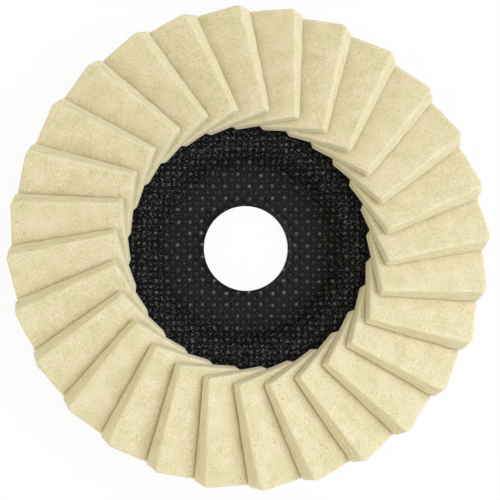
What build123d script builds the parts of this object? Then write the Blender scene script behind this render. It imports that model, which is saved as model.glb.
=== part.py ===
"""Felt flap disc, 125 mm, for polishing with an angle grinder.

Twenty-eight strips of pressed wool felt lean on one another like roof tiles round a
dished fibreglass backing plate, and stand in a bed of epoxy. Their inner ends crowd
together, which squeezes the felt there to little more than half of its thickness at
the rim. The disc lies on the back of its hub with the felt upwards.

Units are millimetres. The origin is the middle of the bore on the back face of the
hub, +Z points out of the working side, and the first flap lies along +Y. Seen from
above, the flaps follow one another clockwise and each lies over the next one.
"""

from build123d import *
from math import atan2, cos, degrees, radians, sin, tan
import os

# Backing plate: one pressed laminate, depressed centre, coned flange
BORE_RADIUS = 22.23 / 2  # the common bore of 115 and 125 mm grinders
PLATE_THICKNESS = 2.8
HUB_RADIUS = 21.5  # the clamping nut bears inside this corner
HUB_BEVEL = 1.2  # each way from that corner
CREST_RADIUS = 27.0  # corner between the wall of the well and the flange
CREST_HEIGHT = 9.5
CREST_BEND = 4.5
CONE_ANGLE = 12.0  # fall of the flange towards its edge
PLATE_RADIUS = 55.0

# Epoxy bed that the feet of the flaps stand in
BED_INNER_RADIUS = 31.6
BED_OUTER_RADIUS = 53.5
BED_THICKNESS = 2.2
FOOT_CLEARANCE = 0.25  # epoxy left under the foot of each flap

# Felt flaps
FLAP_COUNT = 28
FLAP_WIDTH = 18.1
FLAP_LENGTH = 30.4
OUTER_THICKNESS = 5.8
INNER_THICKNESS = 3.1  # squeezed between its neighbours
INNER_SKEW = 1.7  # the foot reaches this much farther in than the raised edge
FLAP_LEAN = 29.0  # away from the flange, the leading edge raised
FLAP_INNER = 30.25  # inner end of the foot, measured along the flap's radius
FOOT_OFFSET = -5.3  # foot from that radius, clockwise positive
FIRST_FLAP_TURN = 3.5  # first flap's radius from +Y, clockwise
CORNER_RADIUS = 1.8  # raised outer corner, in the flat
EDGE_SOFTENING = 0.4  # knife-cut edges of the working face

PITCH = 360.0 / FLAP_COUNT
CONE_SLOPE = tan(radians(CONE_ANGLE))
WALL_ANGLE = atan2(CREST_HEIGHT - PLATE_THICKNESS, CREST_RADIUS - HUB_RADIUS)
SWELL_ANGLE = degrees(atan2(OUTER_THICKNESS - INNER_THICKNESS, FLAP_LENGTH))


def flange_height(radius):
    """Height of the coned front face of the plate at a radius."""
    return CREST_HEIGHT - (radius - CREST_RADIUS) * CONE_SLOPE


def flap_plane(clockwise):
    """Underside of one flap: X from foot to raised edge, Y from bore to rim."""
    cone = radians(CONE_ANGLE)
    lean = radians(FLAP_LEAN)
    along = Vector(0, cos(cone), -sin(cone))
    off_flange = Vector(0, sin(cone), cos(cone))
    across = Vector(1, 0, 0) * cos(lean) + off_flange * sin(lean)
    foot_height = flange_height(FLAP_INNER) + FOOT_CLEARANCE
    upright = Plane(
        origin=(FOOT_OFFSET, FLAP_INNER, foot_height),
        x_dir=across,
        z_dir=across.cross(along),
    )
    turn = Location((0, 0, 0), (0, 0, -clockwise))
    return Plane(turn * upright.location)


os.makedirs("parts", exist_ok=True)

# Backing plate: the front line of the section, thickened towards the back and
# turned about the bore
with BuildPart() as backing_plate:
    with BuildSketch(Plane.XZ) as plate_section:
        with BuildLine() as front_line:
            FilletPolyline(
                (BORE_RADIUS, PLATE_THICKNESS),
                (HUB_RADIUS - HUB_BEVEL, PLATE_THICKNESS),
                (
                    HUB_RADIUS + HUB_BEVEL * cos(WALL_ANGLE),
                    PLATE_THICKNESS + HUB_BEVEL * sin(WALL_ANGLE),
                ),
                (CREST_RADIUS, CREST_HEIGHT),
                (PLATE_RADIUS, flange_height(PLATE_RADIUS)),
                radius=[0, 0, CREST_BEND],
            )
            offset(amount=PLATE_THICKNESS, side=Side.RIGHT, kind=Kind.INTERSECTION)
        make_face()
    revolve(axis=Axis.Z)
backing_plate.part.label = "backing_plate"
export_step(backing_plate.part, "parts/backing_plate.step")

# Flaps: each strip is drawn in the flat on the plane of its own underside, and its
# working face swells towards the rim
flaps = []
for number in range(1, FLAP_COUNT + 1):
    underside = flap_plane(FIRST_FLAP_TURN + (number - 1) * PITCH)
    with BuildPart() as flap:
        with BuildSketch(underside) as strip:
            Polygon(
                (0, 0),
                (FLAP_WIDTH, INNER_SKEW),
                (FLAP_WIDTH, FLAP_LENGTH),
                (0, FLAP_LENGTH),
                align=None,
            )
            raised_corner = strip.vertices().sort_by_distance((FLAP_WIDTH, FLAP_LENGTH, 0))[0]
            fillet(raised_corner, CORNER_RADIUS)
        extrude(amount=OUTER_THICKNESS)
        inner_face = underside.offset(INNER_THICKNESS).location
        split(bisect_by=Plane(inner_face * Rotation(SWELL_ANGLE, 0, 0)), keep=Keep.BOTTOM)
        working_face = flap.faces().sort_by(Axis(underside.origin, underside.z_dir))[-1]
        chamfer(working_face.edges(), EDGE_SOFTENING)
    flap.part.label = f"flap_{number:02d}"
    export_step(flap.part, f"parts/flap_{number:02d}.step")
    flaps.append(flap.part)

# Epoxy bed: a ring on the flange, with every foot let into it
with BuildPart() as adhesive_bed:
    with BuildSketch(Plane.XZ):
        inner_height = flange_height(BED_INNER_RADIUS)
        outer_height = flange_height(BED_OUTER_RADIUS)
        with BuildLine():
            Polyline(
                (BED_INNER_RADIUS, inner_height),
                (BED_OUTER_RADIUS, outer_height),
                (BED_OUTER_RADIUS, outer_height + BED_THICKNESS),
                (BED_INNER_RADIUS, inner_height + BED_THICKNESS),
                close=True,
            )
        make_face()
    revolve(axis=Axis.Z)
    for flap_solid in flaps:
        add(flap_solid, mode=Mode.SUBTRACT)
adhesive_bed.part.label = "adhesive_bed"
export_step(adhesive_bed.part, "parts/adhesive_bed.step")
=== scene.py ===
"""Dressed model of a felt flap disc for polishing with an angle grinder.

Twenty-eight strips of pressed wool felt lean on one another like roof tiles round a
dished, resin-bonded glass-weave plate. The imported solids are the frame: the felt
strips and the plate are replaced by finer meshes of the same form in the same
places, and the epoxy bed between them keeps its solid and gets its finish here.

Lengths are metres, except where a name ends in _mm. The origin is the middle of the
bore on the back of the hub, and +Z points out of the working side.
"""

import logging
import math
import random
from dataclasses import dataclass, field
from enum import Enum

import bmesh
import bpy
from mathutils import Matrix, Vector, noise


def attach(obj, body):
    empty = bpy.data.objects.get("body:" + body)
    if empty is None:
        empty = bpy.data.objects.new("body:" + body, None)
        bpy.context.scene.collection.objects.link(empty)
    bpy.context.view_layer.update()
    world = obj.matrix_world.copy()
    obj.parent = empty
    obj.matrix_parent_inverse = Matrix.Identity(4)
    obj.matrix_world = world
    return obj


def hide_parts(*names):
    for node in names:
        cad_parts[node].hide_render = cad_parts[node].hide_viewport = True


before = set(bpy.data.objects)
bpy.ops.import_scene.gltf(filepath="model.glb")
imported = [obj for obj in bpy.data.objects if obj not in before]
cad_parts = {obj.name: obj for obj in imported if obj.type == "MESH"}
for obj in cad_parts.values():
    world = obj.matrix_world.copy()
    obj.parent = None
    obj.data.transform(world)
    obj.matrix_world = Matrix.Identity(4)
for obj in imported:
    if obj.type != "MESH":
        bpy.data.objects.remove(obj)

LOG = logging.getLogger("flap_disc")

MM = 0.001
UP = Vector((0.0, 0.0, 1.0))

# Each point of a felt strip keeps its place in the flat strip, in mm, by this name
FLAT_PLACE = "strip"


# Colour and shader nodes


def linear(hex_colour: str) -> tuple[float, float, float, float]:
    """Turn an sRGB hex colour into linear values.

    Args:
        hex_colour: Six hex digits after a hash sign.

    Returns:
        Red, green and blue as linear light, and an alpha of 1.
    """
    channels = []
    for start in (1, 3, 5):
        value = int(hex_colour[start : start + 2], 16) / 255.0
        if value <= 0.04045:
            channels.append(value / 12.92)
        else:
            channels.append(((value + 0.055) / 1.055) ** 2.4)
    return (channels[0], channels[1], channels[2], 1.0)


def add_node(
    tree: bpy.types.NodeTree,
    kind: str,
    settings: dict[str | int, object] | None = None,
    links: dict[str | int, bpy.types.NodeSocket] | None = None,
    ramp: list[tuple[float, str]] | None = None,
) -> bpy.types.Node:
    """Add one shader node with its settings and links.

    Args:
        tree: The material's node tree.
        kind: The node type without its ShaderNode prefix.
        settings: Values by attribute name, or by the name or number of an input.
        links: Output sockets by the name or number of the input that they feed.
        ramp: Stops of a colour ramp, each a position and a hex colour.

    Returns:
        The new node.
    """
    node = tree.nodes.new("ShaderNode" + kind)
    for key, value in (settings or {}).items():
        if isinstance(key, str) and hasattr(node, key):
            setattr(node, key, value)
        else:
            node.inputs[key].default_value = value
    for key, socket in (links or {}).items():
        tree.links.new(socket, node.inputs[key])
    if ramp:
        stops = node.color_ramp.elements
        while len(stops) < len(ramp):
            stops.new(1.0)
        for stop, (position, colour) in zip(stops, ramp):
            stop.position = position
            stop.color = linear(colour)
    return node


# Inputs and output of a Mix node that is set to colours
MIX_FACTOR = 0
MIX_A = 6
MIX_B = 7
MIX_RESULT = 2


@dataclass(frozen=True)
class Finish:
    """A named surface finish, built as a procedural material on first use."""

    name: str

    def material(self) -> bpy.types.Material:
        """Return the finish's material, made on first use.

        Returns:
            The one material of this name.
        """
        found = bpy.data.materials.get(self.name)
        if found:
            return found
        made = bpy.data.materials.new(self.name)
        made.use_nodes = True
        made.node_tree.nodes.clear()
        shader = self.shader(made.node_tree)
        add_node(made.node_tree, "OutputMaterial", links={"Surface": shader})
        return made

    def shader(self, tree: bpy.types.NodeTree) -> bpy.types.NodeSocket:
        """Build the finish's nodes.

        Args:
            tree: The empty node tree to fill.

        Returns:
            The socket that holds the finished shader.
        """
        raise NotImplementedError


@dataclass(frozen=True)
class WoolFelt(Finish):
    """What the faces and the sides of the felt share.

    Wool is not quite opaque: light creeps in between the fibres and comes out a
    little way off, a little less far in the blue.
    """

    soak_mm: float = 1.0
    soak_share: float = 0.5
    soak_colour: tuple[float, float, float] = (1.0, 1.0, 0.8)

    def depth(self) -> dict[str | int, object]:
        """Return the skin's settings for light that creeps between the fibres."""
        return {
            "Subsurface Weight": self.soak_share,
            "Subsurface Radius": self.soak_colour,
            "Subsurface Scale": self.soak_mm * MM,
        }


@dataclass(frozen=True)
class PressedWoolFelt(WoolFelt):
    """Hard wool felt, pressed and steamed flat between plates.

    It scatters light evenly with no highlight. Up close the eye sees a tangle of
    paler and darker fibres, soft cloudy patches where the batt was thicker, and a
    scatter of dark vegetable specks left in the wool.
    """

    name: str = "pressed_wool_felt"
    pale: str = "#F2E7CB"
    body: str = "#EBE0BD"
    shade: str = "#E1D8AF"
    grain_deep: str = "#DDD4B6"  # the grain darkens what lies under it
    grain_body: str = "#F6F3EA"
    grain_share: float = 0.85
    strand: str = "#CFC295"
    strand_share: float = 0.16
    strand_width: float = 0.16  # part of the tangle's cells
    strand_rise: float = 0.35  # in the relief, against the fibres
    speck: str = "#9A8E62"
    cloud_mm: float = 4.5
    tangle_mm: float = 0.8
    swirl_mm: float = 2.4  # how far the tangle is bent out of line
    fibre_mm: float = 0.42  # wool is 0.03 mm thick: drawn as coarse as shows
    speck_mm: float = 0.5
    speck_stretch: float = 2.0  # longer along the strip than across it
    speck_noise: tuple[float, float] = (0.69, 0.76)  # none below, full above
    litter_mm: float = 5.0  # the specks lie in loose groups this far apart
    litter_noise: tuple[float, float] = (0.44, 0.6)
    litter_share: float = 0.5
    relief_mm: float = 0.12

    def shader(self, tree: bpy.types.NodeTree) -> bpy.types.NodeSocket:
        """Build the clouds, the tangle of fibres and the specks.

        Args:
            tree: The empty node tree to fill.

        Returns:
            The socket that holds the finished shader.
        """
        strip = add_node(tree, "Attribute", {"attribute_name": FLAT_PLACE})
        place = strip.outputs["Vector"]
        clouds = add_node(
            tree,
            "TexNoise",
            {"Scale": 1.0 / self.cloud_mm, "Detail": 3.0, "Roughness": 0.6},
            {"Vector": place},
        )
        fibres = add_node(
            tree,
            "TexNoise",
            {"Scale": 1.0 / self.fibre_mm, "Detail": 3.0, "Roughness": 0.65},
            {"Vector": place},
        )
        # The swirl is a little coarser than the tangle that it bends
        swirl = add_node(
            tree,
            "TexNoise",
            {"Scale": 0.7 / self.tangle_mm, "Detail": 2.0, "Distortion": 0.8},
            {"Vector": place},
        )
        swirled = add_node(
            tree,
            "VectorMath",
            {"operation": "MULTIPLY_ADD", 1: (self.swirl_mm,) * 3},
            {0: swirl.outputs["Color"], 2: place},
        )
        tangle = add_node(
            tree,
            "TexVoronoi",
            {"feature": "DISTANCE_TO_EDGE", "Scale": 1.0 / self.tangle_mm},
            {"Vector": swirled.outputs["Vector"]},
        )
        strands = add_node(
            tree,
            "ValToRGB",
            links={"Fac": tangle.outputs["Distance"]},
            ramp=[(0.0, "#FFFFFF"), (self.strand_width, "#000000")],
        )
        drawn_out = add_node(
            tree,
            "VectorMath",
            {"operation": "MULTIPLY", 1: (1.0, 1.0 / self.speck_stretch, 1.0)},
            {0: place},
        )
        specks = add_node(
            tree,
            "TexNoise",
            {"Scale": 1.0 / self.speck_mm, "Detail": 1.0, "Roughness": 0.3},
            {"Vector": drawn_out.outputs["Vector"]},
        )
        speck_mask = add_node(
            tree,
            "MapRange",
            {"From Min": self.speck_noise[0], "From Max": self.speck_noise[1]},
            {"Value": specks.outputs["Fac"]},
        )
        litter = add_node(
            tree,
            "TexNoise",
            {"Scale": 1.0 / self.litter_mm, "Detail": 1.0},
            {"Vector": place},
        )
        litter_mask = add_node(
            tree,
            "MapRange",
            {
                "From Min": self.litter_noise[0],
                "From Max": self.litter_noise[1],
                "To Max": self.litter_share,
            },
            {"Value": litter.outputs["Fac"]},
        )
        cloudy = add_node(
            tree,
            "ValToRGB",
            links={"Fac": clouds.outputs["Fac"]},
            ramp=[(0.30, self.shade), (0.5, self.body), (0.72, self.pale)],
        )
        grain = add_node(
            tree,
            "ValToRGB",
            links={"Fac": fibres.outputs["Fac"]},
            ramp=[(0.30, self.grain_deep), (0.5, self.grain_body), (0.66, "#FFFFFF")],
        )
        grained = add_node(
            tree,
            "Mix",
            {
                "data_type": "RGBA",
                "blend_type": "MULTIPLY",
                MIX_FACTOR: self.grain_share,
            },
            {MIX_A: cloudy.outputs["Color"], MIX_B: grain.outputs["Color"]},
        )
        strand_mask = add_node(
            tree,
            "Math",
            {"operation": "MULTIPLY", 1: self.strand_share},
            {0: strands.outputs["Color"]},
        )
        stranded = add_node(
            tree,
            "Mix",
            {"data_type": "RGBA", MIX_B: linear(self.strand)},
            {MIX_FACTOR: strand_mask.outputs[0], MIX_A: grained.outputs[MIX_RESULT]},
        )
        littered = add_node(
            tree,
            "Math",
            {"operation": "MULTIPLY"},
            {0: speck_mask.outputs["Result"], 1: litter_mask.outputs["Result"]},
        )
        coloured = add_node(
            tree,
            "Mix",
            {"data_type": "RGBA", MIX_B: linear(self.speck)},
            {MIX_FACTOR: littered.outputs[0], MIX_A: stranded.outputs[MIX_RESULT]},
        )
        relief = add_node(
            tree,
            "Math",
            {"operation": "MULTIPLY_ADD", 1: self.strand_rise},
            {0: strands.outputs["Color"], 2: fibres.outputs["Fac"]},
        )
        bump = add_node(
            tree,
            "Bump",
            {"Strength": 0.5, "Distance": self.relief_mm * MM},
            {"Height": relief.outputs[0]},
        )
        skin = add_node(
            tree,
            "BsdfPrincipled",
            {
                "Roughness": 0.9,
                "Specular IOR Level": 0.2,
                "Sheen Weight": 0.25,
                "Sheen Roughness": 0.6,
                **self.depth(),
            },
            {
                "Base Color": coloured.outputs[MIX_RESULT],
                "Normal": bump.outputs["Normal"],
            },
        )
        return skin.outputs["BSDF"]


@dataclass(frozen=True)
class KnifeCutFelt(WoolFelt):
    """Side of a felt strip, cut across the batt with a straight knife.

    The cut opens the layers in which the wool was laid, so it shows fine broken
    streaks along the strip and looks a little rougher and darker than the faces.
    """

    name: str = "knife_cut_felt"
    pale: str = "#EEE4C5"
    body: str = "#E6DCB8"
    groove: str = "#D4C9A3"
    grain_deep: str = "#C9BF9A"
    grain_body: str = "#F1EDDF"
    grain_share: float = 0.6
    layer_mm: float = 0.5
    streak_mm: float = 5.0
    fibre_mm: float = 0.4  # loose ends, drawn as coarse as shows
    relief_mm: float = 0.2

    def shader(self, tree: bpy.types.NodeTree) -> bpy.types.NodeSocket:
        """Build the laid layers and the loose fibres across them.

        Args:
            tree: The empty node tree to fill.

        Returns:
            The socket that holds the finished shader.
        """
        strip = add_node(tree, "Attribute", {"attribute_name": FLAT_PLACE})
        stretched = add_node(
            tree,
            "VectorMath",
            {
                "operation": "MULTIPLY",
                1: (1.0 / self.streak_mm, 1.0 / self.streak_mm, 1.0 / self.layer_mm),
            },
            {0: strip.outputs["Vector"]},
        )
        layers = add_node(
            tree,
            "TexNoise",
            {"Scale": 1.0, "Detail": 3.0, "Roughness": 0.6, "Distortion": 0.4},
            {"Vector": stretched.outputs["Vector"]},
        )
        fibres = add_node(
            tree,
            "TexNoise",
            {"Scale": 1.0 / self.fibre_mm, "Detail": 3.0, "Roughness": 0.7},
            {"Vector": strip.outputs["Vector"]},
        )
        layered = add_node(
            tree,
            "ValToRGB",
            links={"Fac": layers.outputs["Fac"]},
            ramp=[(0.30, self.groove), (0.45, self.body), (0.68, self.pale)],
        )
        grain = add_node(
            tree,
            "ValToRGB",
            links={"Fac": fibres.outputs["Fac"]},
            ramp=[(0.25, self.grain_deep), (0.5, self.grain_body), (0.70, "#FFFFFF")],
        )
        coloured = add_node(
            tree,
            "Mix",
            {
                "data_type": "RGBA",
                "blend_type": "MULTIPLY",
                MIX_FACTOR: self.grain_share,
            },
            {MIX_A: layered.outputs["Color"], MIX_B: grain.outputs["Color"]},
        )
        relief = add_node(
            tree,
            "Math",
            {"operation": "ADD"},
            {0: layers.outputs["Fac"], 1: fibres.outputs["Fac"]},
        )
        bump = add_node(
            tree,
            "Bump",
            {"Strength": 0.6, "Distance": self.relief_mm * MM},
            {"Height": relief.outputs[0]},
        )
        skin = add_node(
            tree,
            "BsdfPrincipled",
            {
                "Roughness": 1.0,
                "Specular IOR Level": 0.1,
                "Sheen Weight": 0.1,
                **self.depth(),
            },
            {
                "Base Color": coloured.outputs[MIX_RESULT],
                "Normal": bump.outputs["Normal"],
            },
        )
        return skin.outputs["BSDF"]


@dataclass(frozen=True)
class GlassWeaveLaminate(Finish):
    """Glass cloth in black phenolic resin, cured under a hot press.

    The plate is near black. Where warp and weft cross, the resin is thin over the
    knuckle of the yarn, which shows as a square grid of small grey dots, and the
    resin has a satin gloss that glints on the knuckles of the sloping parts. More
    glints are painted into the colour as pale flecks on the crests of the open weave,
    with painted shade in its pits. The press bears hardest at the hub, so the weave is
    smooth there and open outside.
    """

    name: str = "glass_weave_laminate"
    # Painted shade: the pits of the open weave are painted near black
    painted_pit_shade: str = "#020202"
    resin: str = "#110F0B"
    yarn: str = "#302F2B"
    # Painted highlight: pale bluish glints painted on the crests of the open weave
    painted_glint: str = "#7A7C84"
    knuckle: str = "#7A7871"
    pitch_mm: float = 3.1  # between knuckles of the warp: two yarns of the weft
    knuckle_mm: float = 0.3
    crossing_reach: float = 2.2  # a dot has faded out at so many knuckle sizes
    between_reach: float = 1.9
    between_share: float = 0.18  # the fainter dots of the weft, half a pitch on
    wander_mm: float = 7.0  # the yarns are not laid quite straight
    wander_depth_mm: float = 1.5
    patch_mm: float = 2.4  # the resin over the dots is uneven
    patch_noise: tuple[float, float] = (0.40, 0.60)
    patch_least: float = 0.25
    thread_mm: float = 0.42  # bundles of filaments, drawn as coarse as shows
    pressed_mm: tuple[float, float] = (13.0, 27.0)  # hub to open flange
    pressed_least: float = 0.2  # weave left open at the hub
    dots_least: float = 0.55  # dots left on the open flange
    crest_share: float = 0.10  # of the pillows, against the threads
    crest_mean: float = 0.53
    thread_rise: float = 2.6  # in the relief, against the pillows
    relief_mm: float = 0.3

    def lattice(
        self,
        tree: bpy.types.NodeTree,
        place: bpy.types.NodeSocket,
        shift: float,
        radius_mm: float,
    ) -> bpy.types.NodeSocket:
        """Build a grid of round dots over X and Y.

        Args:
            tree: The node tree to add to.
            place: Object coordinates in millimetres.
            shift: Part of a pitch by which the grid is moved both ways.
            radius_mm: Radius at which a dot has faded out.

        Returns:
            A socket that is 1 in the middle of a dot and 0 between the dots.
        """
        cells = add_node(
            tree,
            "VectorMath",
            {
                "operation": "MULTIPLY_ADD",
                1: (1.0 / self.pitch_mm, 1.0 / self.pitch_mm, 0.0),
                2: (shift, shift, 0.5),
            },
            {0: place},
        )
        inside = add_node(
            tree, "VectorMath", {"operation": "FRACTION"}, {0: cells.outputs["Vector"]}
        )
        offset = add_node(
            tree,
            "VectorMath",
            {"operation": "DISTANCE", 1: (0.5, 0.5, 0.5)},
            {0: inside.outputs["Vector"]},
        )
        faded = add_node(
            tree,
            "MapRange",
            {
                "interpolation_type": "SMOOTHSTEP",
                "From Min": 0.0,
                "From Max": radius_mm / self.pitch_mm,
                "To Min": 1.0,
                "To Max": 0.0,
            },
            {"Value": offset.outputs["Value"]},
        )
        return faded.outputs["Result"]

    def pillows(
        self, tree: bpy.types.NodeTree, place: bpy.types.NodeSocket
    ) -> bpy.types.NodeSocket:
        """Build the rounded swelling of each yarn where it crosses another.

        Args:
            tree: The node tree to add to.
            place: Object coordinates in millimetres.

        Returns:
            A socket that is 1 on a crossing and 0 in the grooves between yarns.
        """
        yarns_per_pitch = 2.0
        angles = add_node(
            tree,
            "VectorMath",
            {"operation": "SCALE", "Scale": yarns_per_pitch * math.tau / self.pitch_mm},
            {0: place},
        )
        waves = add_node(
            tree, "VectorMath", {"operation": "COSINE"}, {0: angles.outputs["Vector"]}
        )
        lifted = add_node(
            tree,
            "VectorMath",
            {"operation": "MULTIPLY_ADD", 1: (0.5, 0.5, 0.0), 2: (0.5, 0.5, 0.0)},
            {0: waves.outputs["Vector"]},
        )
        parts = add_node(tree, "SeparateXYZ", links={0: lifted.outputs["Vector"]})
        both = add_node(
            tree,
            "Math",
            {"operation": "MULTIPLY"},
            {0: parts.outputs["X"], 1: parts.outputs["Y"]},
        )
        return both.outputs[0]

    def openness(
        self, tree: bpy.types.NodeTree, place: bpy.types.NodeSocket
    ) -> bpy.types.NodeSocket:
        """Build how open the press has left the weave, by the distance to the bore.

        Args:
            tree: The node tree to add to.
            place: Object coordinates in millimetres.

        Returns:
            A socket that is least at the hub and 1 on the open flange.
        """
        from_axis = add_node(
            tree,
            "VectorMath",
            {"operation": "MULTIPLY", 1: (1.0, 1.0, 0.0)},
            {0: place},
        )
        radius = add_node(
            tree,
            "VectorMath",
            {"operation": "LENGTH"},
            {0: from_axis.outputs["Vector"]},
        )
        unpressed = add_node(
            tree,
            "MapRange",
            {
                "From Min": self.pressed_mm[0],
                "From Max": self.pressed_mm[1],
                "To Min": self.pressed_least,
                "To Max": 1.0,
            },
            {"Value": radius.outputs["Value"]},
        )
        return unpressed.outputs["Result"]

    def dots(
        self,
        tree: bpy.types.NodeTree,
        straight: bpy.types.NodeSocket,
        place: bpy.types.NodeSocket,
        unpressed: bpy.types.NodeSocket,
    ) -> bpy.types.NodeSocket:
        """Build the knuckles that show through the resin.

        Args:
            tree: The node tree to add to.
            straight: Object coordinates in millimetres.
            place: The same, wandering with the yarns.
            unpressed: How open the weave is.

        Returns:
            A socket that says how much of a knuckle's colour shows.
        """
        crossing_mm = self.crossing_reach * self.knuckle_mm
        between_mm = self.between_reach * self.knuckle_mm
        crossings = self.lattice(tree, place, 0.0, crossing_mm)
        between = self.lattice(tree, place, 0.5, between_mm)
        patches = add_node(
            tree,
            "TexNoise",
            {"Scale": 1.0 / self.patch_mm, "Detail": 3.0, "Roughness": 0.7},
            {"Vector": straight},
        )
        shown = add_node(
            tree,
            "MapRange",
            {
                "From Min": self.patch_noise[0],
                "From Max": self.patch_noise[1],
                "To Min": self.patch_least,
            },
            {"Value": patches.outputs["Fac"]},
        )
        patchy = add_node(
            tree,
            "Math",
            {"operation": "MULTIPLY"},
            {0: crossings, 1: shown.outputs["Result"]},
        )
        faint = add_node(
            tree, "Math", {"operation": "MULTIPLY", 1: self.between_share}, {0: between}
        )
        dotted = add_node(
            tree,
            "Math",
            {"operation": "MAXIMUM"},
            {0: patchy.outputs[0], 1: faint.outputs[0]},
        )
        covered = add_node(
            tree,
            "MapRange",
            {
                "From Min": self.pressed_least,
                "From Max": 1.0,
                "To Min": 1.0,
                "To Max": self.dots_least,
            },
            {"Value": unpressed},
        )
        both = add_node(
            tree,
            "Math",
            {"operation": "MULTIPLY"},
            {0: dotted.outputs[0], 1: covered.outputs["Result"]},
        )
        return both.outputs[0]

    def shader(self, tree: bpy.types.NodeTree) -> bpy.types.NodeSocket:
        """Build yarns, knuckles and resin, with painted glints and shade in the pits.

        Args:
            tree: The empty node tree to fill.

        Returns:
            The socket that holds the finished shader.
        """
        coordinates = add_node(tree, "TexCoord")
        place_mm = add_node(
            tree,
            "VectorMath",
            {"operation": "SCALE", "Scale": 1.0 / MM},
            {0: coordinates.outputs["Object"]},
        )
        straight = place_mm.outputs["Vector"]
        wander = add_node(
            tree,
            "TexNoise",
            {"Scale": 1.0 / self.wander_mm, "Detail": 2.0},
            {"Vector": straight},
        )
        wandering = add_node(
            tree,
            "VectorMath",
            {
                "operation": "MULTIPLY_ADD",
                1: (self.wander_depth_mm, self.wander_depth_mm, 0.0),
            },
            {0: wander.outputs["Color"], 2: straight},
        )
        place = wandering.outputs["Vector"]
        unpressed = self.openness(tree, straight)
        dots = self.dots(tree, straight, place, unpressed)
        pillows = self.pillows(tree, place)
        threads = add_node(
            tree,
            "TexNoise",
            {"Scale": 1.0 / self.thread_mm, "Detail": 2.0, "Roughness": 0.6},
            {"Vector": straight},
        )
        crests = add_node(
            tree,
            "Math",
            {"operation": "MULTIPLY_ADD", 1: self.crest_share},
            {0: pillows, 2: threads.outputs["Fac"]},
        )
        centred = add_node(
            tree,
            "Math",
            {"operation": "SUBTRACT", 1: self.crest_mean},
            {0: crests.outputs[0]},
        )
        # Painted light: this sends the colour down to painted shade in the pits and up
        # to painted glints on the crests, following the relief; the press evens it out
        # at the hub
        weave_tone_and_painted_light = add_node(
            tree,
            "Math",
            {"operation": "MULTIPLY_ADD", 2: 0.5},
            {0: centred.outputs[0], 1: unpressed},
        )
        ground = add_node(
            tree,
            "ValToRGB",
            links={"Fac": weave_tone_and_painted_light.outputs[0]},
            ramp=[
                (0.40, self.painted_pit_shade),
                (0.5, self.resin),
                (0.60, self.yarn),
                (0.70, self.painted_glint),
            ],
        )
        coloured = add_node(
            tree,
            "Mix",
            {"data_type": "RGBA", MIX_B: linear(self.knuckle)},
            {MIX_FACTOR: dots, MIX_A: ground.outputs["Color"]},
        )
        relief = add_node(
            tree,
            "Math",
            {"operation": "MULTIPLY_ADD", 1: self.thread_rise},
            {0: threads.outputs["Fac"], 2: pillows},
        )
        bump = add_node(
            tree,
            "Bump",
            {"Distance": self.relief_mm * MM},
            {"Height": relief.outputs[0], "Strength": unpressed},
        )
        skin = add_node(
            tree,
            "BsdfPrincipled",
            {"Roughness": 0.25, "Specular IOR Level": 0.12},
            {
                "Base Color": coloured.outputs[MIX_RESULT],
                "Normal": bump.outputs["Normal"],
            },
        )
        return skin.outputs["BSDF"]


@dataclass(frozen=True)
class CuredEpoxy(Finish):
    """Filled epoxy, poured as a ring and cured under the felt.

    It set with a glossy, slightly uneven skin and a dark smoky colour.
    """

    name: str = "cured_epoxy"
    deep: str = "#2A231B"
    thin: str = "#54483A"
    flow_mm: float = 3.0
    relief_mm: float = 0.3

    def shader(self, tree: bpy.types.NodeTree) -> bpy.types.NodeSocket:
        """Build the uneven colour and the flow marks.

        Args:
            tree: The empty node tree to fill.

        Returns:
            The socket that holds the finished shader.
        """
        coordinates = add_node(tree, "TexCoord")
        flow = add_node(
            tree,
            "TexNoise",
            {"Scale": 1.0 / (self.flow_mm * MM), "Detail": 3.0},
            {"Vector": coordinates.outputs["Object"]},
        )
        coloured = add_node(
            tree,
            "ValToRGB",
            links={"Fac": flow.outputs["Fac"]},
            ramp=[(0.35, self.deep), (0.7, self.thin)],
        )
        bump = add_node(
            tree,
            "Bump",
            {"Strength": 0.5, "Distance": self.relief_mm * MM},
            {"Height": flow.outputs["Fac"]},
        )
        skin = add_node(
            tree,
            "BsdfPrincipled",
            {"Roughness": 0.28, "IOR": 1.55},
            {"Base Color": coloured.outputs["Color"], "Normal": bump.outputs["Normal"]},
        )
        return skin.outputs["BSDF"]


@dataclass(frozen=True)
class PaleFloor(Finish):
    """Matt white studio floor that keeps a faint shadow and shows white."""

    name: str = "pale_floor"
    paint: str = "#F2F2F0"
    glow: float = 0.94  # share of the camera's view that is plain white

    def shader(self, tree: bpy.types.NodeTree) -> bpy.types.NodeSocket:
        """Build the paint and the white that camera and mirrors see.

        Args:
            tree: The empty node tree to fill.

        Returns:
            The socket that holds the finished shader.
        """
        paint = add_node(
            tree, "BsdfDiffuse", {"Color": linear(self.paint), "Roughness": 0.5}
        )
        white = add_node(tree, "Emission", {"Strength": 1.0})
        rays = add_node(tree, "LightPath")
        seen = add_node(
            tree,
            "Math",
            {"operation": "MAXIMUM"},
            {0: rays.outputs["Is Camera Ray"], 1: rays.outputs["Is Glossy Ray"]},
        )
        share = add_node(
            tree, "Math", {"operation": "MULTIPLY", 1: self.glow}, {0: seen.outputs[0]}
        )
        mixed = add_node(
            tree,
            "MixShader",
            links={
                0: share.outputs[0],
                1: paint.outputs["BSDF"],
                2: white.outputs["Emission"],
            },
        )
        return mixed.outputs["Shader"]


# Pieces of the disc


def smoothstep(low: float, high: float, value: float) -> float:
    """Return a smooth rise from 0 at low to 1 at high."""
    share = min(1.0, max(0.0, (value - low) / (high - low)))
    return share * share * (3.0 - 2.0 * share)


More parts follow.
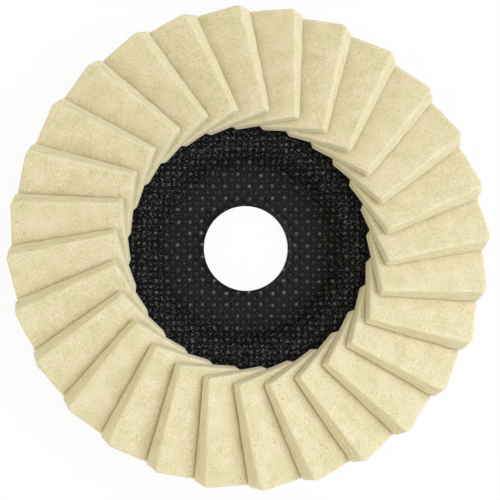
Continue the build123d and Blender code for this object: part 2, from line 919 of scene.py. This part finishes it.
def finished_object(
    name: str, bm: bmesh.types.BMesh, finishes: list[Finish]
) -> bpy.types.Object:
    """Turn a bmesh into a smooth-shaded object in the scene.

    Args:
        name: The piece's name.
        bm: Its shape, in place. It is freed here.
        finishes: Its finishes, in the order of the faces' material numbers.

    Returns:
        The object, at the origin and unturned.
    """
    for face in bm.faces:
        face.smooth = True
    mesh = bpy.data.meshes.new(name)
    bm.to_mesh(mesh)
    bm.free()
    for finish in finishes:
        mesh.materials.append(finish.material())
    piece = bpy.data.objects.new(name, mesh)
    bpy.context.scene.collection.objects.link(piece)
    return piece


@dataclass(frozen=True)
class Cone:
    """The coned flange that the felt stands on."""

    crest_radius: float = 27.0 * MM
    crest_height: float = 9.5 * MM
    angle: float = math.radians(12.0)

    def height(self, radius: float) -> float:
        """Return the height of the flange's front face at a radius."""
        return self.crest_height - (radius - self.crest_radius) * math.tan(self.angle)


class FeltSide(Enum):
    """Which finish a face of a felt strip takes."""

    PRESSED = 0
    CUT = 1


# How far the outer ends of the strips may stray, either way
LIFT_MM = 0.08
TWIST_MM = 0.1
SWING_MM = 0.45
SEED_STEP = 37.0  # apart enough that no two strips share their unevenness


@dataclass(frozen=True)
class Lie:
    """How one strip lies a little differently from its neighbours.

    The foot is glued and the inner end is packed tight, so every figure is the
    movement of the free outer end.
    """

    lift: float
    twist: float
    swing: float
    seed: float

    @classmethod
    def drawn(cls, chance: random.Random, number: int) -> "Lie":
        """Draw the lie of one strip.

        Args:
            chance: The ring's own seeded source of chance.
            number: The strip's number in the ring.

        Returns:
            The strip's lie.
        """
        return cls(
            lift=chance.uniform(-LIFT_MM, LIFT_MM) * MM,
            twist=chance.uniform(-TWIST_MM, TWIST_MM) * MM,
            swing=chance.uniform(-SWING_MM, SWING_MM) * MM,
            seed=SEED_STEP * number,
        )


@dataclass
class FeltStrip:
    """One strip of felt, drawn in the flat and then set in the ring.

    In the flat, X runs from the foot to the raised edge, Y from the inner end to
    the outer, and Z from the underside to the working face.
    """

    width: float = 18.1 * MM
    length: float = 30.3 * MM
    thickness: float = 5.8 * MM
    squeezed: float = 3.1 * MM  # thickness at the crowded inner end
    skew: float = 1.7 * MM  # the foot reaches this much farther in
    corner: float = 1.6 * MM  # raised outer corner
    corner_segments: int = 7
    edge: float = 0.75 * MM  # softened arris round both faces
    edge_segments: int = 3
    arris_angle: float = math.radians(30.0)  # sharper than the rounded corner's facets
    flat_on: float = 0.6  # a face that tilts more than this is a cut side
    spacing: float = 0.55 * MM  # of the surface's own points
    wave: float = 0.10 * MM  # slow unevenness of the felt
    wave_mm: float = 4.2
    nap: float = 0.045 * MM  # fine unevenness
    nap_mm: float = 0.9
    layers: float = 0.12 * MM  # laid layers, opened by the knife
    layer_mm: tuple[float, float, float] = (5.0, 5.0, 0.7)
    knife: float = 0.16 * MM  # the knife wandered along the cut
    knife_mm: float = 6.0
    held: float = 0.35  # share of the unevenness where neighbours hold the strip
    held_to: tuple[float, float] = (0.08, 0.45)  # part of its length, held to free
    inner_sag: float = 0.30 * MM  # of the raised edge, down onto the next strip
    outer_sag: float = 1.0 * MM
    finishes: list[Finish] = field(
        default_factory=lambda: [PressedWoolFelt(), KnifeCutFelt()]
    )

    def flat(self) -> bmesh.types.BMesh:
        """Make the plain strip, with its points spread evenly.

        Returns:
            The strip in the flat, with each point's place kept in mm.
        """
        bm = bmesh.new()
        bmesh.ops.create_cube(bm, size=1.0)
        size = Vector((self.width, self.length, self.thickness))
        bmesh.ops.scale(bm, vec=size, verts=bm.verts)
        bmesh.ops.translate(bm, vec=size / 2.0, verts=bm.verts)
        corner = [
            edge
            for edge in bm.edges
            if all(v.co.x > size.x / 2.0 and v.co.y > size.y / 2.0 for v in edge.verts)
        ]
        self.soften(bm, corner, self.corner, self.corner_segments)
        arrises = [
            edge for edge in bm.edges if edge.calc_face_angle(0.0) > self.arris_angle
        ]
        self.soften(bm, arrises, self.edge, self.edge_segments)
        self.score(bm)
        for face in bm.faces:
            pressed = abs(face.normal.z) > self.flat_on
            side = FeltSide.PRESSED if pressed else FeltSide.CUT
            face.material_index = side.value
        place = bm.verts.layers.float_vector.new(FLAT_PLACE)
        for vert in bm.verts:
            vert[place] = vert.co / MM
        self.squeeze(bm)
        return bm

    def soften(
        self,
        bm: bmesh.types.BMesh,
        edges: list[bmesh.types.BMEdge],
        width: float,
        segments: int,
    ) -> None:
        """Round some of the strip's edges.

        Args:
            bm: The strip in the flat.
            edges: The edges to round.
            width: How far the rounding reaches on each side.
            segments: The number of facets.
        """
        bmesh.ops.bevel(
            bm,
            geom=edges,
            offset=width,
            offset_type="OFFSET",
            segments=segments,
            profile=0.5,
            affect="EDGES",
            material=-1,
        )

    def squeeze(self, bm: bmesh.types.BMesh) -> None:
        """Squeeze the inner end and set it askew, as the crowded strips do.

        Args:
            bm: The strip in the flat.
        """
        for vert in bm.verts:
            across = vert.co.x / self.width
            outward = vert.co.y / self.length
            thickness = self.squeezed + (self.thickness - self.squeezed) * outward
            vert.co.y += self.skew * across * (1.0 - outward)
            vert.co.z *= thickness / self.thickness
        bm.normal_update()

    def score(self, bm: bmesh.types.BMesh) -> None:
        """Cut the strip's faces into small squares.

        Args:
            bm: The strip in the flat.
        """
        size = (self.width, self.length, self.thickness)
        for axis in range(3):
            normal = Vector([float(axis == other) for other in range(3)])
            span = size[axis] - 2.0 * self.edge
            count = max(2, round(span / self.spacing))
            for step in range(1, count):
                place = normal * (self.edge + span * step / count)
                bmesh.ops.bisect_plane(
                    bm,
                    geom=bm.verts[:] + bm.edges[:] + bm.faces[:],
                    dist=0.01 * MM,
                    plane_co=place,
                    plane_no=normal,
                )

    def unevenness(self, sample: Vector, cut: float, free: float) -> float:
        """Return how far the felt's surface stands proud at a place.

        Args:
            sample: The place in the flat in mm, moved by the strip's seed.
            cut: How far the surface there is a cut side, from 0 to 1.
            free: How free the strip is there, from 0 to 1.

        Returns:
            The height in metres, along the surface's own direction.
        """
        layered = Vector([x / size for x, size in zip(sample, self.layer_mm)])
        along_cut = Vector((0.0, sample.y / self.knife_mm, 0.0))
        depth = self.wave * noise.noise(sample / self.wave_mm)
        depth += self.nap * noise.noise(sample / self.nap_mm)
        depth += cut * self.layers * noise.noise(layered)
        depth *= self.held + (1.0 - self.held) * free
        return depth + cut * self.knife * noise.noise(along_cut) * free

    def relaxed(
        self, flat: bmesh.types.BMesh, lie: Lie, down: Vector
    ) -> bmesh.types.BMesh:
        """Give a copy of the plain strip the sag and unevenness of one real strip.

        Args:
            flat: The plain strip.
            lie: How this strip lies.
            down: The way down, in the strip's flat frame.

        Returns:
            The uneven strip, still in its flat frame.
        """
        bm = flat.copy()
        place = bm.verts.layers.float_vector[FLAT_PLACE]
        shift = Vector((lie.seed, 2.0 * lie.seed, 3.0 * lie.seed))
        for vert in bm.verts:
            sample = vert[place] + shift
            outward = vert.normal
            along = vert.co.y / self.length
            across = vert.co.x / self.width
            free = smoothstep(*self.held_to, along)
            tip = along * along
            sag = self.inner_sag + (self.outer_sag - self.inner_sag) * along
            cut = 1.0 - abs(outward.z)
            vert.co += outward * self.unevenness(sample, cut, free)
            vert.co += down * (sag * across * across)
            vert.co.z += tip * (lie.lift + lie.twist * (across - 0.5))
            vert.co.x += tip * lie.swing
            vert[place] = sample
        return bm


@dataclass
class FlapRing:
    """The ring of felt strips, each lying over the next one clockwise."""

    count: int = 28
    lean: float = math.radians(29.0)
    inner: float = 30.25 * MM  # inner end of the foot, along the strip's radius
    foot_offset: float = -5.3 * MM  # foot from that radius, clockwise positive
    foot_clearance: float = 0.25 * MM
    first_turn: float = math.radians(3.5)
    cone: Cone = field(default_factory=Cone)
    strip: FeltStrip = field(default_factory=FeltStrip)
    chance: random.Random = field(default_factory=lambda: random.Random(28))

    def seat(self, number: int) -> Matrix:
        """Return the place of one strip's flat frame.

        Args:
            number: The strip's number, from 1.

        Returns:
            The matrix from the strip's flat frame to the disc.
        """
        along = Vector((0.0, math.cos(self.cone.angle), -math.sin(self.cone.angle)))
        off_flange = Vector((0.0, math.sin(self.cone.angle), math.cos(self.cone.angle)))
        level = Vector((math.cos(self.lean), 0.0, 0.0))
        across = level + off_flange * math.sin(self.lean)
        foot = Vector(
            (
                self.foot_offset,
                self.inner,
                self.cone.height(self.inner) + self.foot_clearance,
            )
        )
        upright = Matrix((across, along, across.cross(along))).transposed().to_4x4()
        upright.translation = foot
        turn = self.first_turn + (number - 1) * math.tau / self.count
        return Matrix.Rotation(-turn, 4, "Z") @ upright

    def build(self) -> list[bpy.types.Object]:
        """Build every strip in place of its solid.

        Returns:
            The strips, in order round the ring.
        """
        flat = self.strip.flat()
        down = Vector((-math.sin(self.lean), 0.0, -math.cos(self.lean)))
        pieces = []
        for number in range(1, self.count + 1):
            lie = Lie.drawn(self.chance, number)
            bm = self.strip.relaxed(flat, lie, down)
            bmesh.ops.transform(bm, matrix=self.seat(number), verts=bm.verts)
            piece = finished_object(f"felt_{number:02d}", bm, self.strip.finishes)
            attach(piece, "root")
            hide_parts(f"flap_{number:02d}")
            pieces.append(piece)
        flat.free()
        return pieces


@dataclass
class BackingPlate:
    """The dished plate, turned about the bore and pressed with its weave."""

    bore: float = 22.23 / 2.0 * MM
    thickness: float = 2.8 * MM
    hub: float = 21.5 * MM
    hub_bend: float = 2.5 * MM
    crest_bend: float = 4.5 * MM
    bend_segments: int = 8
    rim: float = 55.0 * MM
    cone: Cone = field(default_factory=Cone)
    spokes: int = 400
    ring_spacing: float = 0.45 * MM
    sunk: float = 0.29 * MM  # the bare resin lies this far inside the solid's skin
    edge_fade: float = 0.8 * MM  # the weave starts this far from bore and rim
    knuckle_rise_mm: float = 0.16  # where the warp comes up
    knuckle_reach_mm: float = 0.62
    weft_rise_mm: float = 0.08  # where the weft comes up, half a pitch on
    weft_reach_mm: float = 0.5
    rough_rise_mm: float = 0.05
    rough_mm: float = 0.9
    finish: GlassWeaveLaminate = field(default_factory=GlassWeaveLaminate)

    def front_line(self) -> bmesh.types.BMesh:
        """Draw the front line of the section in the XZ plane.

        Returns:
            The line from the bore to the rim, its bends rounded and its points
            evenly spaced.
        """
        bm = bmesh.new()
        corners = (
            (self.bore, self.thickness),
            (self.hub, self.thickness),
            (self.cone.crest_radius, self.cone.crest_height),
            (self.rim, self.cone.height(self.rim)),
        )
        verts = [bm.verts.new((radius, 0.0, height)) for radius, height in corners]
        for start, end in zip(verts, verts[1:]):
            bm.edges.new((start, end))
        wall = math.atan2(
            self.cone.crest_height - self.thickness, self.cone.crest_radius - self.hub
        )
        for vert, bend, turn in (
            (verts[2], self.crest_bend, wall + self.cone.angle),
            (verts[1], self.hub_bend, wall),
        ):
            bmesh.ops.bevel(
                bm,
                geom=[vert],
                offset=bend * math.tan(turn / 2.0),
                offset_type="OFFSET",
                segments=self.bend_segments,
                profile=0.5,
                affect="VERTICES",
                material=-1,
            )
        for edge in bm.edges[:]:
            cuts = int(edge.calc_length() / self.ring_spacing)
            if cuts:
                bmesh.ops.subdivide_edges(bm, edges=[edge], cuts=cuts)
        return bm

    def weave_height(self, place: Vector) -> float:
        """Return how far the pressed weave stands proud at a place.

        Args:
            place: A point of the plate, in metres.

        Returns:
            The height in metres, from 0 in the valleys.
        """
        pitch = self.finish.pitch_mm
        x = place.x / MM / pitch
        y = place.y / MM / pitch
        near = math.hypot(x - round(x), y - round(y)) * pitch
        half_x = x - 0.5 - round(x - 0.5)
        half_y = y - 0.5 - round(y - 0.5)
        between = math.hypot(half_x, half_y) * pitch
        knuckle = math.exp(-((near / self.knuckle_reach_mm) ** 2))
        weft = math.exp(-((between / self.weft_reach_mm) ** 2))
        rough = noise.noise(place / MM / self.rough_mm)
        return MM * (
            self.knuckle_rise_mm * knuckle
            + self.weft_rise_mm * weft
            + self.rough_rise_mm * rough
        )

    def build(self) -> bpy.types.Object:
        """Build the plate in place of its solid.

        Returns:
            The plate.
        """
        bm = self.front_line()
        bmesh.ops.spin(
            bm,
            geom=bm.verts[:] + bm.edges[:],
            cent=(0.0, 0.0, 0.0),
            axis=UP,
            angle=math.tau,
            steps=self.spokes,
            use_merge=True,
        )
        bmesh.ops.remove_doubles(bm, verts=bm.verts, dist=0.002 * MM)
        bmesh.ops.recalc_face_normals(bm, faces=bm.faces)
        if sum(face.normal.z for face in bm.faces) < 0.0:
            bmesh.ops.reverse_faces(bm, faces=bm.faces)
        bmesh.ops.solidify(bm, geom=bm.faces[:], thickness=self.thickness)
        bmesh.ops.recalc_face_normals(bm, faces=bm.faces)
        bm.normal_update()
        for vert in bm.verts:
            radius = math.hypot(vert.co.x, vert.co.y)
            inside = smoothstep(0.0, self.edge_fade, radius - self.bore)
            inside *= smoothstep(0.0, self.edge_fade, self.rim - radius)
            vert.co -= vert.normal * (self.sunk - self.weave_height(vert.co)) * inside
        piece = finished_object("glass_weave_plate", bm, [self.finish])
        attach(piece, "root")
        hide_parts("backing_plate")
        return piece


@dataclass
class AdhesiveBed:
    """The ring of epoxy that the felt stands in, kept as its solid."""

    finish: CuredEpoxy = field(default_factory=CuredEpoxy)

    def dress(self) -> bpy.types.Object:
        """Give the solid its finish.

        Returns:
            The solid's own object.
        """
        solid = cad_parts["adhesive_bed"]
        solid.data.materials.clear()
        solid.data.materials.append(self.finish.material())
        return solid


# Studio


@dataclass(frozen=True)
class Softbox:
    """A round softbox that faces the disc."""

    name: str
    azimuth: float  # clockwise from +Y
    elevation: float
    watts: float
    size: float
    tint: str
    distance: float = 900.0 * MM

    def hang(self, aim: Vector) -> None:
        """Hang the softbox.

        Args:
            aim: The point that it faces.
        """
        lamp = bpy.data.lights.new(self.name, "AREA")
        lamp.shape = "DISK"
        lamp.size = self.size
        lamp.energy = self.watts
        lamp.color = linear(self.tint)[:3]
        level = math.cos(self.elevation)
        towards = Vector(
            (
                level * math.sin(self.azimuth),
                level * math.cos(self.azimuth),
                math.sin(self.elevation),
            )
        )
        box = bpy.data.objects.new(self.name, lamp)
        box.rotation_euler = towards.to_track_quat("Z", "Y").to_euler()
        box.location = aim + towards * self.distance
        bpy.context.scene.collection.objects.link(box)


@dataclass
class Studio:
    """White floor, light tent, two softboxes and the camera above the disc."""

    aim: Vector = field(default_factory=lambda: Vector((0.0, 0.0, 12.0 * MM)))
    distance: float = 720.0 * MM
    tilt_left: float = math.radians(5.6)
    tilt_down: float = math.radians(1.1)
    sensor_mm: float = 36.0
    field_width: float = 129.33 * MM  # at the aim point
    shift: tuple[float, float] = (0.0006, -0.0046)
    tent: float = 0.70  # the white walls of the light tent
    opening: float = 0.15  # its top, where the camera looks in
    opening_rise: tuple[float, float] = (0.8, 0.97)  # sine of the elevation
    tent_tint: str = "#FFFDF2"
    floor_size: float = 6.0
    floor_drop: float = 0.02 * MM  # below the hub, so that the two don't meet
    softboxes: list[Softbox] = field(
        default_factory=lambda: [
            Softbox(
                name="key",
                azimuth=math.radians(86.0),
                elevation=math.radians(54.0),
                watts=7.4,
                size=1.0,
                tint="#E5EDFF",
            ),
            Softbox(
                name="fill",
                azimuth=math.radians(255.0),
                elevation=math.radians(30.0),
                watts=2.2,
                size=1.2,
                tint="#FFFFFF",
            ),
        ]
    )

    def floor(self) -> None:
        """Lay the floor just under the hub."""
        bm = bmesh.new()
        half = self.floor_size / 2.0
        bmesh.ops.create_grid(bm, x_segments=2, y_segments=2, size=half)
        bmesh.ops.translate(bm, vec=(0.0, 0.0, -self.floor_drop), verts=bm.verts)
        finished_object("floor", bm, [PaleFloor()])

    def lights(self) -> None:
        """Set the even tent and hang the softboxes."""
        world = bpy.data.worlds.new("studio")
        world.use_nodes = True
        tree = world.node_tree
        tree.nodes.clear()
        ways = add_node(tree, "TexCoord")
        parts = add_node(tree, "SeparateXYZ", links={0: ways.outputs["Generated"]})
        tent = add_node(
            tree,
            "MapRange",
            {
                "interpolation_type": "SMOOTHSTEP",
                "From Min": self.opening_rise[0],
                "From Max": self.opening_rise[1],
                "To Min": self.tent,
                "To Max": self.opening,
            },
            {"Value": parts.outputs["Z"]},
        )
        background = add_node(
            tree,
            "Background",
            {"Color": linear(self.tent_tint)},
            {"Strength": tent.outputs["Result"]},
        )
        add_node(tree, "OutputWorld", links={"Surface": background.outputs[0]})
        bpy.context.scene.world = world
        for softbox in self.softboxes:
            softbox.hang(self.aim)

    def camera(self) -> None:
        """Hang the camera over the disc, a little to the left and to the front."""
        lens = bpy.data.cameras.new("camera")
        lens.sensor_width = self.sensor_mm
        lens.lens = self.sensor_mm * self.distance / self.field_width
        lens.shift_x, lens.shift_y = self.shift
        lens.clip_start = 0.01
        lens.clip_end = 20.0
        back = Vector((-math.tan(self.tilt_left), -math.tan(self.tilt_down), 1.0))
        back.normalize()
        right = Vector((0.0, 1.0, 0.0)).cross(back).normalized()
        upward = back.cross(right)
        matrix = Matrix((right, upward, back)).transposed().to_4x4()
        matrix.translation = self.aim + back * self.distance
        view = bpy.data.objects.new("camera", lens)
        view.matrix_world = matrix
        bpy.context.scene.collection.objects.link(view)
        bpy.context.scene.camera = view

    def build(self) -> None:
        """Build the whole studio."""
        self.floor()
        self.lights()
        self.camera()
        bpy.context.scene.view_settings.view_transform = "Standard"


def main() -> None:
    logging.basicConfig(level=logging.INFO, format="%(message)s")
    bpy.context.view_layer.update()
    pieces = FlapRing().build()
    pieces.append(BackingPlate().build())
    pieces.append(AdhesiveBed().dress())
    for piece in pieces:
        LOG.info("%s: %d faces", piece.name, len(piece.data.polygons))
    Studio().build()
    LOG.info("studio: floor, tent, softboxes and camera")


if __name__ == "__main__":
    main()
